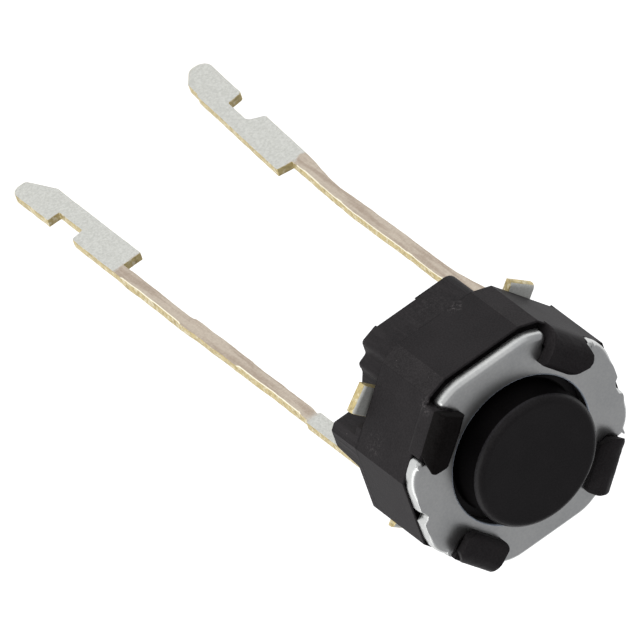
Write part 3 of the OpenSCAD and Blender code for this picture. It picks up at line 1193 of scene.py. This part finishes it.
    def build(self) -> bpy.types.Object:
        """Builds the moulding as one solid.

        Returns:
            The housing.
        """
        made = worked(self.upper_body(), self.lower_body(), Join.ADD)
        walls = (inset(self.outline(), self.rim_w),
                 inset(self.corners(), self.rim_w + self.groove_w))
        levels = (self.ledge_z - self.groove_h, self.ledge_z + self.overlap)
        rings = [Shell([[Vector((*p, z)) for p in wall] for z in levels], ends=False)
                 for wall in walls]
        worked(made, holed("groove", *rings), Join.CUT)
        for shape in self.lips:
            worked(made, self.lip(shape), Join.ADD)
        pocket_top, top = self.floor_z + self.pocket_h, self.ledge_z + self.cover_t / 2
        chamber = Shell.revolve([
            (0, self.floor_z), (self.pocket_r, self.floor_z), (self.pocket_r, pocket_top),
            (self.chamber_r, pocket_top), (self.chamber_r, top), (0, top),
        ], self.chamber_sides)
        worked(made, chamber.to_object("chamber"), Join.CUT)
        looks = (self.finishes.housing, self.finishes.facet, self.finishes.lip_head_shade)
        return self.completed(made, looks, Body.BASE, Slot.HOUSING, "housing")

    def finish_of(self, middle: Vector, normal: Vector) -> int:
        """Picks the finish of a face.

        Args:
            middle: The face's middle, in mm.
            normal: Its normal.

        Returns:
            1 on the facets beside the long flats (painted sheen), 2 on the head of the lip at -X +Y
            (painted shade), 0 elsewhere.
        """
        skin, facing, facet_low = 0.02, 0.995, 0.3
        # Painted shade: the head of the lip at -X +Y gets the darker finish.
        if middle.z > self.ledge_z + self.cover_t + skin and middle.x < 0 < middle.y:
            return 2
        facet = Vector((math.sin(self.facet_angle), math.cos(self.facet_angle), 0))
        across = Vector((abs(normal.x), abs(normal.y), normal.z))
        return int(across.dot(facet) > facing and middle.z > self.parting_z - facet_low)


@dataclass
class CoverPlate(Piece):
    """The stamped steel cover under the lips."""

    housing: Housing
    hole_r: float = 1.96
    hole_sides: int = 144
    edge_in_x: float = 0.055
    edge_in_y: float = 0.16
    corner_in: float = 0.2
    corner_r: float = 0.2
    corner_steps: int = 8
    longest_side: float = 0.08
    near_flat: float = 0.27
    far_flat: float = 0.37
    short_r: float = 1.0
    long_r: float = 1.2
    post_near: float = -0.25
    post_far: float = 0.91
    lip_gap: float = 0.03
    slot_r: float = 0.04
    ledge_gap: float = 0.002
    rim_r: float = 0.17
    hole_edge_r: float = 0.045
    hole_highlight_rise: Point = (0.05, 0.98)
    round_steps: int = 6
    notches: tuple[tuple[Point, ...], ...] = (
        ((0.0, -0.4), (-0.09, -0.33), (-0.12, -0.14), (-0.1, 0.0), (0.01, 0.12)),
        ((0.0, -0.2), (-0.06, -0.12), (-0.13, 0.03), (-0.1, 0.1), (0.02, 0.2)),
    )
    notch_r: float = 0.04
    notch_side: float = 0.4
    notch_calm: float = 0.46
    notch_fade: float = 0.35
    notch_share: float = 0.2

    def quarter(self) -> list[Triple]:
        """Draws a quarter of the outline, from the short edge round to the long edge.

        Returns:
            Its points (x, y, radius).
        """
        h = self.housing
        edge_x, edge_y = h.half_x - self.edge_in_x, h.half_y - self.edge_in_y
        blank_r = math.hypot(h.facet_x, h.facet_y) - self.corner_in
        bottom = h.slant_r - h.lip_post_t - self.lip_gap
        near, far = self.post_near - self.lip_gap, self.post_far + self.lip_gap
        spin = Matrix.Rotation(h.slant_angle, 2)

        def slot(r: float, t: float, radius: float) -> Triple:
            """A point of the slot in the plane of the cover."""
            return (*(spin @ Vector((r, t))), radius)

        def rounded_tip(t: float, side: int) -> list[Triple]:
            """Draws the round between the slot's wall and the blank's edge.

            Args:
                t: Place of the slot's wall.
                side: Side of the slot that the wall is on.

            Returns:
                Points from the slot's wall to the edge.
            """
            mid_t = t + side * self.corner_r
            mid_r = math.sqrt((blank_r - self.corner_r) ** 2 - mid_t**2)
            lean = math.atan2(mid_t, mid_r)
            start, steps = -side * math.pi / 2, self.corner_steps
            turn = [start + (lean - start) * i / steps for i in range(steps + 1)]
            return [slot(mid_r + self.corner_r * math.cos(a), mid_t + self.corner_r * math.sin(a),
                         0.0) for a in turn]

        near_tip, far_tip = rounded_tip(near, -1), rounded_tip(far, 1)
        return [
            (edge_x, near_tip[-1][1] - self.near_flat, self.short_r), *reversed(near_tip),
            slot(bottom, near, self.slot_r), slot(bottom, far, self.slot_r),
            *far_tip, (far_tip[-1][0] - self.far_flat, edge_y, self.long_r),
        ]

    def outline(self) -> list[Point]:
        """Draws the whole outline with its two notches.

        Returns:
            Its points.
        """
        quarter, edge_x = self.quarter(), self.housing.half_x - self.edge_in_x
        side = quarter + [(-x, y, r) for x, y, r in reversed(quarter)]
        right, left = ([(edge_x + x, y, self.notch_r) for x, y in notch] for notch in self.notches)
        return divided(rounded(right + side + turned(left) + turned(side)),
                       self.longest_side)

    def rim_ring(self, outline: list[Point], z: float, distance: float) -> list[Vector]:
        """Draws a ring of the rim's rounding, which is smaller at the two notches.

        Args:
            outline: The cover's outline.
            z: Height of the ring.
            distance: How far the ring lies in from the outline.

        Returns:
            The ring's points.
        """
        made = []
        for p, q in zip(outline, inset(outline, distance)):
            beside = abs(p[0]) > self.housing.half_x - self.notch_side
            rise = smoothstep((abs(p[1]) - self.notch_calm) / self.notch_fade) if beside else 1.0
            share = self.notch_share + (1 - self.notch_share) * rise
            made.append(Vector((*p, z)).lerp(Vector((*q, z)), share))
        return made

    def build(self) -> bpy.types.Object:
        """Builds the cover.

        Returns:
            The cover.
        """
        h, outline = self.housing, self.outline()
        low, high = h.ledge_z + self.ledge_gap, h.ledge_z + h.cover_t
        rim = [(low, 0.0), *rounded_edge(high, self.rim_r, self.round_steps, True)]
        flare = [(low, 0.0), *rounded_edge(high, self.hole_edge_r, self.round_steps, True)]
        outer = Shell([self.rim_ring(outline, z, d) for z, d in rim], ends=False)
        hole = Shell.revolve([(self.hole_r + d, z) for z, d in flare], self.hole_sides,
                             ends=False)
        made = holed("cover_plate_sheet", outer, hole)
        looks = (self.finishes.cover, self.finishes.hole_edge_highlight)
        return self.completed(made, looks, Body.BASE, Slot.COVER, "cover_plate")

    def finish_of(self, middle: Vector, normal: Vector) -> int:
        """Picks the finish of a face.

        Args:
            middle: The face's middle, in mm.
            normal: Its normal.

        Returns:
            1 on the rounded edge of the hole, whose bright bluish finish is a painted highlight, 0
            elsewhere.
        """
        steep, flat = self.hole_highlight_rise
        by_hole = math.hypot(middle.x, middle.y) < self.hole_r + self.hole_edge_r
        return int(steep < normal.z < flat and by_hole)


@dataclass
class Button(Piece):
    """The round button with its flange and stem."""

    button_r: float = 1.749
    top_z: float = 4.0
    edge_r: float = 0.22
    flange_r: float = 2.199
    flange_low: float = 2.33
    flange_high: float = 2.93
    flange_edge_r: float = 0.05
    root_r: float = 0.04
    stem_r: float = 0.6
    stem_z: float = 1.56
    stem_edge_r: float = 0.1
    sides: int = 160
    round_steps: int = 10
    highlight_rise: Point = (0.2, 0.5)

    def build(self) -> bpy.types.Object:
        """Builds the button.

        Returns:
            The button.
        """
        small = self.flange_edge_r
        profile = rounded([
            (0, self.stem_z, 0), (self.stem_r, self.stem_z, self.stem_edge_r),
            (self.stem_r, self.flange_low, small), (self.flange_r, self.flange_low, small),
            (self.flange_r, self.flange_high, small),
            (self.button_r, self.flange_high, self.root_r),
            (self.button_r, self.top_z, self.edge_r), (0, self.top_z, 0),
        ], self.round_steps)
        made = Shell.revolve(profile, self.sides).to_object("button_cap")
        looks = (self.finishes.button, self.finishes.button_side_shade, self.finishes.button_edge_highlight)
        return self.completed(made, looks, Body.BUTTON, Slot.BUTTON, "button")

    def finish_of(self, middle: Vector, normal: Vector) -> int:
        """Number of the finish of a face: 1 on the side and below, darker as painted shade; 2 on
        the arc over it, a painted highlight.
        """
        steep, flat = self.highlight_rise
        # Painted shade on the side, painted highlight on the arc over it.
        return 2 if steep < normal.z < flat else int(normal.z < flat)


@dataclass
class SnapDome(Piece):
    """The spring steel dome under the stem, built at rest; in the real switch it flattens as the
    button goes down.
    """

    rim_r: float = 2.1
    rim_z: float = 1.12
    crown_h: float = 0.42
    sheet_t: float = 0.06
    pressed: float = 0.44
    sides: int = 96
    steps: int = 24

    def build(self) -> bpy.types.Object:
        """Builds the dome.

        Returns:
            The dome.
        """
        shell_r = (self.rim_r**2 + self.crown_h**2) / (2 * self.crown_h)
        centre = self.rim_z + self.crown_h - shell_r

        def arc(radius: float) -> list[Point]:
            """Points of a sphere's section, from its crown down to the rim's plane."""
            turns = [math.acos((self.rim_z - centre) / radius) * i / self.steps
                     for i in range(self.steps + 1)]
            return [(radius * math.sin(a), centre + radius * math.cos(a)) for a in turns]

        profile = arc(shell_r - self.sheet_t) + list(reversed(arc(shell_r)))
        made = Shell.revolve(profile, self.sides).to_object("snap_dome_shell")
        self.completed(made, [self.finishes.spring], Body.BASE, Slot.DOME, "snap_dome")
        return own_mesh(made)


@dataclass(frozen=True)
class LegShape:
    """The long leg of one lead.

    Places on the blade are (distance from its outer edge, distance from its start, corner radius).

    Attributes:
        bow: Inward bow of its shank.
        blade_start: Depth of its blade's start below the board.
        lean: Outward lean of the blade.
        tip: Outline of the blade's end, from its inner edge to its outer one.
        notch: Outline of the notch in its outer edge, from the tip's side.
        inner: How much wider the shank is at its inner edge, by depth.
        outer: How much wider it is at its outer edge, by depth.
        coined: How far the face's visible edge is pressed back, by depth.
        seed: Picks the waviness of its cut edges.
    """

    bow: float
    blade_start: float
    lean: float
    tip: tuple[Triple, ...]
    notch: tuple[Triple, ...]
    inner: tuple[Point, ...]
    outer: tuple[Point, ...]
    coined: tuple[Point, ...]
    seed: float


CENTRE_LEG = LegShape(
    bow=0.17, blade_start=9.65, lean=math.radians(4.5),
    tip=((0.85, 3.82, 0.03), (0.81, 3.92, 0.03), (0.8, 4.38, 0.25), (0.5, 4.84, 0.3),
         (0.0, 4.84, 0.3)),
    notch=((0.0, 3.1, 0.1), (0.42, 3.02, 0.05), (0.42, 2.15, 0.2), (0.0, 1.93, 0.12)),
    inner=((1.7, 0.0), (2.2, 0.05), (3.6, 0.086), (4.5, 0.065), (6.85, 0.078), (8.17, 0.035),
           (9.3, 0.12)),
    outer=((4.5, 0.01), (6.8, 0.0), (8.2, -0.035), (9.3, -0.025), (9.6, 0.0)),
    coined=((2.0, 0.0), (2.2, 0.035), (9.2, 0.035), (9.5, 0.0)), seed=5.3)
RING_LEG = LegShape(
    bow=0.02, blade_start=9.9, lean=math.radians(-0.5),
    tip=((0.84, 3.62, 0.1), (0.46, 4.5, 0.12), (0.0, 4.5, 0.27)),
    notch=((0.0, 2.87, 0.02), (0.36, 2.86, 0.03), (0.36, 1.88, 0.03), (0.0, 1.82, 0.1)),
    inner=((1.7, 0.0), (1.95, 0.03), (2.9, 0.017), (4.0, 0.01), (4.33, 0.01), (4.45, 0.03),
           (5.6, 0.034), (6.8, 0.022), (6.95, -0.03), (8.4, -0.01), (9.5, 0.02)),
    outer=((1.7, 0.0), (2.9, 0.013), (4.5, 0.03), (6.6, 0.04), (7.1, 0.056), (8.4, 0.035),
           (9.5, 0.024), (9.8, 0.0)),
    coined=((1.95, 0.0), (2.05, 0.05), (4.55, 0.05), (4.7, 0.0), (7.0, 0.0), (7.15, 0.05),
            (9.45, 0.05), (9.6, 0.0)), seed=2.1)


@dataclass
class Lead(Piece):
    """One lead: a strip with its raised contact, two cut tie bars and a long leg."""

    name: str = "centre_lead"
    leg: LegShape = CENTRE_LEG
    is_ring: bool = False
    sheet_t: float = 0.22
    frame_z: float = 0.80
    contact_rise: float = 0.1
    contact_r: float = 0.65
    contact_edge_r: float = 0.03
    contact_sides: int = 48
    disc_share: float = 1.27
    ring_mid_r: float = 1.95
    ring_w: float = 0.3
    ring_half: float = math.radians(70)
    ring_over: float = 0.09
    contact_rim: float = 0.18
    lead_x: float = 2.68
    leg_y: float = 0.08
    leg_root: float = 0.4
    shoulder_w: float = 0.44
    shoulder_drop: float = 1.6
    shank_w: float = 0.31
    shank_steps: int = 80
    bow_len: float = 1.8
    blade_w: float = 0.85
    blade_r: float = 0.04
    tab_len: float = 0.75
    tab_low: float = 0.2
    fold_r: float = 0.04
    fold_out_r: float = 0.26
    stub_w: float = 0.76
    stub_angle: float = math.radians(47)
    stub_aside: float = 0.36
    stub_r: float = 3.28
    stub_bend: tuple[float, ...] = (2.2, 2.3, 2.4, 2.5)
    stub_bend_len: float = 0.3
    stub_drop: float = 0.1
    stub_roll: tuple[Point, ...] = ((0.12, 0.0), (0.07, 0.12), (0.03, 0.42), (0.0, 1.0))
    stub_roll_h: float = 0.1
    stub_edge_r: float = 0.03
    die_r: float = 0.02
    burr_r: float = 0.005
    edge_steps: int = 3
    edge_wave: float = 0.012
    longest_side: float = 0.12

    def centreline(self, depth: float) -> float:
        """Works out where the shank's middle runs.

        Args:
            depth: Depth below the board.

        Returns:
            Its distance from the axis.
        """
        down = smoothstep((depth - self.shoulder_drop) / self.bow_len)
        up = smoothstep((self.leg.blade_start - depth) / self.bow_len)
        return self.lead_x - self.leg.bow * min(down, up)

    def leg_outline(self) -> list[Point]:
        """Draws the leg in X and Z, from inside the housing to the blade's tip.

        Returns:
            Its outline.
        """
        leg, half, shoulder = self.leg, self.shank_w / 2, self.shoulder_w / 2
        taper = (self.shoulder_w - self.shank_w) / 2
        turn = Matrix.Rotation(leg.lean, 2)
        pivot = Vector((self.lead_x + half, -leg.blade_start))
        blade = rounded([
            (-self.blade_w, 0, self.blade_r), *[(-v, -u, r) for v, u, r in leg.tip + leg.notch],
            (0, 0, 0.0), (-half, 0.0, 0.0),
        ])[:-1]
        blade = [tuple(pivot + turn @ Vector(p)) for p in blade]
        length, steps = leg.blade_start - self.shoulder_drop - taper, self.shank_steps
        depths = [self.shoulder_drop + taper + length * i / steps for i in range(steps + 1)]
        left = [(self.centreline(d) - half - between(leg.inner, d), -d) for d in depths]
        right = [(self.centreline(d) + half + between(leg.outer, d), -d)
                 for d in reversed(depths[:-1])]
        ends = (self.leg_root, -self.shoulder_drop)
        top_left = [(self.lead_x - shoulder, z) for z in ends]
        top_right = [(self.lead_x + shoulder, z) for z in reversed(ends)]
        outline = divided([*top_left, *left, *blade, *right, *top_right],
                          self.longest_side)
        return [self.wavy(p) for p in outline]

    def wavy(self, p: Point) -> Point:
        """Moves a point of the leg's outline a little, as a worn die would leave it.

        Args:
            p: The point.

        Returns:
            Its new place.
        """
        scale, start, fade, elsewhere = 3, -0.6, 0.5, Vector((7, 3, 1))
        at = Vector((p[0] * scale, p[1] * scale, self.leg.seed))
        share = self.edge_wave * smoothstep((start - p[1]) / fade)
        across, along = noise.noise(at), noise.noise(at + elsewhere)
        return p[0] + share * across, p[1] + share * along

    def pressed_back(self, p: Vector) -> Vector:
        """Works out how a point of the upright leg moves where its visible edge is coined.

        Args:
            p: The point.

        Returns:
            Its move.
        """
        skin, skin_t = 0.8, 0.2
        side = 1 if self.is_ring else -1
        if (p.x - self.centreline(-p.z)) * side <= 0:
            return Vector()
        share = 0.5 - side * (p.y + self.leg_y) / self.sheet_t
        share = 0.5 * share + 0.5 * max(0.0, (share - skin) / skin_t)
        return Vector((-side * between(self.leg.coined, -p.z) * share, 0, 0))

    def tie_bar(self, sign: int, inner: float) -> Shell:
        """Makes one cut tie bar, bent down a little outside the housing.

        Args:
            sign: Its side, 1 for +Y or -1 for -Y.
            inner: Distance of its inner end from the axis.

        Returns:
            The bar, for the lead at +X.
        """
        low, high, half = self.frame_z, self.frame_z + self.sheet_t, self.stub_w / 2
        straight = [(r, 0.0) for r in (inner, *self.stub_bend)]
        rings = []
        for r, roll in straight + [(self.stub_r - back, roll) for back, roll in self.stub_roll]:
            drop = self.stub_drop * smoothstep((r - self.stub_bend[0]) / self.stub_bend_len)
            top = high - roll * self.stub_roll_h
            section = rounded([(-half, low, 0), (half, low, 0), (half, top, self.stub_edge_r),
                               (-half, top, self.stub_edge_r)], self.edge_steps)
            rings.append([Vector((r, t - sign * self.stub_aside, z - drop)) for t, z in section])
        return Shell(rings).moved(Matrix.Rotation(sign * self.stub_angle, 4, "Z"))

    def fold(self) -> Shell:
        """Makes the tab that the leg is folded down from.

        Returns:
            The tab.
        """
        half, top = self.sheet_t / 2, self.frame_z + self.sheet_t
        profile = rounded([
            (self.tab_len, self.frame_z, 0), (self.tab_len, top, 0),
            (-half, top, self.fold_out_r), (-half, self.tab_low, 0), (half, self.tab_low, 0),
            (half, self.frame_z, self.fold_r),
        ])
        shy = 0.004
        reach = self.shoulder_w / 2 - shy
        tab = Shell.prism(profile, self.lead_x - reach, self.lead_x + reach)
        return tab.moved(Matrix.Translation((0, -self.leg_y, 0)) @ ALONG_X)

    def arc_band(self, width: float, half: float) -> list[Point]:
        """Draws a curved band about the axis, open towards -X.

        Args:
            width: Its width.
            half: Half of the angle that it covers.

        Returns:
            Its outline.
        """
        steps = 28
        angles = [-half + 2 * half * i / steps for i in range(steps + 1)]
        sides = ((self.ring_mid_r + width / 2, angles),
                 (self.ring_mid_r - width / 2, angles[::-1]))
        return [(r * math.cos(a), r * math.sin(a)) for r, turns in sides for a in turns]

    def frame_shells(self) -> list[Shell]:
        """Makes the flat metal in the housing, for the lead at +X.

        Returns:
            Its overlapping shells, whose flat faces lie a little apart.
        """
        apart, sunk = 0.001, 0.05
        low, high, half = self.frame_z, self.frame_z + self.sheet_t, self.contact_r
        inner = self.ring_mid_r if self.is_ring else half / 2
        strip = [(inner, -half), (self.lead_x, -half), (self.lead_x, half), (inner, half)]
        if self.is_ring:
            contact = self.arc_band(self.ring_w, self.ring_half)
            base = self.arc_band(self.ring_w + 2 * self.contact_rim,
                                 self.ring_half + self.ring_over)
        else:
            contact = circle(half, self.contact_sides)
            base = [(x * self.disc_share, y * self.disc_share) for x, y in contact]
        return [
            self.tie_bar(1, inner), self.tie_bar(-1, inner),
            Shell.prism(strip, low + apart, high - apart),
            Shell.prism(base, low + 2 * apart, high - 2 * apart),
            Shell.prism(contact, low + sunk, high + self.contact_rise, 0, self.contact_edge_r),
        ]

    def build(self) -> bpy.types.Object:
        """Builds the lead.

        Returns:
            The lead.
        """
        half = self.sheet_t / 2
        rounds = (self.burr_r, self.die_r) if self.is_ring else (self.die_r, self.burr_r)
        leg = Shell.prism(self.leg_outline(), -half, half, *rounds, self.edge_steps)
        leg.moved(Matrix.Translation((0, -self.leg_y, 0)) @ UPRIGHT).shifted(self.pressed_back)
        made = leg.to_object(f"{self.name}_strip")
        for i, part in enumerate([self.fold(), *self.frame_shells()]):
            worked(made, part.to_object(f"part_{i}"), Join.ADD)
        if self.is_ring:
            made.data.transform(HALF_TURN)
        plate = PlatedStrip(f"{self.name} plate", -self.leg.blade_start)
        looks = (plate, self.finishes.sheared, self.finishes.rolled)
        return self.completed(made, looks, Body.BASE, Slot.LEAD, self.name)

    def finish_of(self, middle: Vector, normal: Vector) -> int:
        """Picks the finish of a face.

        Args:
            middle: The face's middle, in mm.
            normal: Its normal.

        Returns:
            0 for plate, 1 on a sheared edge, 2 on a coined edge, whose near-white finish is a
            painted highlight.
        """
        frame_low, least_coined, edge_on, face_on, sheared = 0.3, 0.01, 0.3, 0.97, 0.75
        turn, depth = -1 if self.is_ring else 1, -middle.z
        aside = (middle.x * turn - self.centreline(depth)) * turn
        across = abs(normal.z if middle.z > frame_low else normal.y)
        is_coined = between(self.leg.coined, depth) > least_coined
        if aside < 0 and normal.y > 0 and edge_on < across < face_on and is_coined:
            return 2
        return int(across < sheared)


# ---- studio


@dataclass(frozen=True)
class SoftLight:
    """A soft box.

    Attributes:
        name: Its name.
        towards: Direction from the switch to the light.
        width: Its width, in m.
        height: Its height, in m.
        power: Its power, in W.
        distance: Its distance, in m.
        aim_z: Height that its distance is measured from, in mm.
    """

    name: str
    towards: Triple
    width: float
    height: float
    power: float
    distance: float = 0.30
    aim_z: float = 2.0

    def build(self) -> bpy.types.Object:
        """Adds the light, turned towards the switch.

        Returns:
            The light.
        """
        lamp = bpy.data.lights.new(self.name, "AREA")
        lamp.shape, lamp.size, lamp.size_y = "RECTANGLE", self.width, self.height
        lamp.energy = self.power
        made = added(self.name, lamp)
        away = Vector(self.towards).normalized()
        made.location = away * self.distance + Vector((0, 0, self.aim_z * MM))
        made.rotation_mode = "QUATERNION"
        made.rotation_quaternion = (-away).to_track_quat("-Z", "Y")
        return made


@dataclass(frozen=True)
class Studio:
    """Camera, floor, surroundings and lights.

    Attributes:
        camera_at: The camera's place, in mm.
        right: Direction that is to the right in the picture.
        down: Direction that is down in it.
        forward: Direction that the camera looks in.
        sensor: Width of its sensor, in mm.
        lens: Its focal length, in mm.
        floor_z: Height of the floor, in mm.
        floor_half: Half of its width, in m.
        floor_grey: Its colour.
        floor_glow: Light that it gives off.
        walls: Colour of the even surroundings.
        walls_glow: Their brightness.
        lights: The lights.
    """

    camera_at: Triple = (-140.776, 307.413, 331.525)
    right: Triple = (0.78237578, -0.26099295, 0.56548282)
    down: Triple = (-0.54881368, -0.71815144, 0.42785751)
    forward: Triple = (0.29443451, -0.64509006, -0.7051008)
    sensor: float = 36.0
    lens: float = 1125.0
    floor_z: float = -14.6
    floor_half: float = 3.0
    floor_grey: float = 0.7
    floor_glow: float = 0.75
    walls: Triple = (0.62, 0.62, 0.64)
    walls_glow: float = 0.75
    lights: tuple[SoftLight, ...] = (
        SoftLight("overhead", (0.0, 0.88, 0.40), 0.50, 0.50, 0.34),
        SoftLight("left wall", (-0.98, -0.12, 0.08), 0.66, 0.20, 0.70),
        SoftLight("left strip", (-0.84, 0.29, 0.43), 0.02, 0.10, 0.05),
    )

    def camera(self) -> None:
        """Adds the camera at the photograph's place."""
        data = bpy.data.cameras.new("camera")
        data.sensor_width, data.lens = self.sensor, self.lens
        data.clip_start, data.clip_end = 0.01, 10.0
        made = added("camera", data)
        columns = (Vector(self.right), -Vector(self.down), -Vector(self.forward))
        turn = Matrix(columns).transposed().to_4x4()
        made.matrix_world = Matrix.Translation(Vector(self.camera_at) * MM) @ turn
        bpy.context.scene.camera = made

    def floor(self) -> None:
        """Adds the pale floor below the leads' tips."""
        mesh, z, s = bpy.data.meshes.new("floor"), self.floor_z * MM, self.floor_half
        mesh.from_pydata([(-s, -s, z), (s, -s, z), (s, s, z), (-s, s, z)], [], [(0, 1, 2, 3)])
        made = added("floor", mesh)
        grey = (self.floor_grey,) * 3
        made.data.materials.append(Graph("floor").finish(
            (*grey, 1.0), 1.0, Specular_IOR_Level=0.0, Emission_Color=(1.0, 1.0, 1.0, 1.0),
            Emission_Strength=self.floor_glow))

    def surroundings(self) -> None:
        """Gives the studio its even, pale surroundings."""
        world = bpy.data.worlds.new("studio")
        world.use_nodes = True
        bpy.context.scene.world = world
        background = world.node_tree.nodes["Background"].inputs
        background["Color"].default_value = (*self.walls, 1.0)
        background["Strength"].default_value = self.walls_glow

    def build(self) -> None:
        """Adds the whole studio."""
        self.camera()
        self.floor()
        self.surroundings()
        for light in self.lights:
            light.build()
        bpy.context.scene.view_settings.view_transform = "Standard"


def main() -> None:
    """Builds the switch and the studio."""
    logging.basicConfig(level=logging.INFO, format="%(name)s: %(message)s")
    finishes = Finishes()
    housing = Housing(finishes)
    pieces: list[Piece] = [
        housing,
        CoverPlate(finishes, housing),
        Button(finishes),
        SnapDome(finishes),
        Lead(finishes),
        Lead(finishes, "ring_lead", RING_LEG, True),
    ]
    for piece in pieces:
        piece.build()
    Studio().build()


if __name__ == "__main__":
    main()
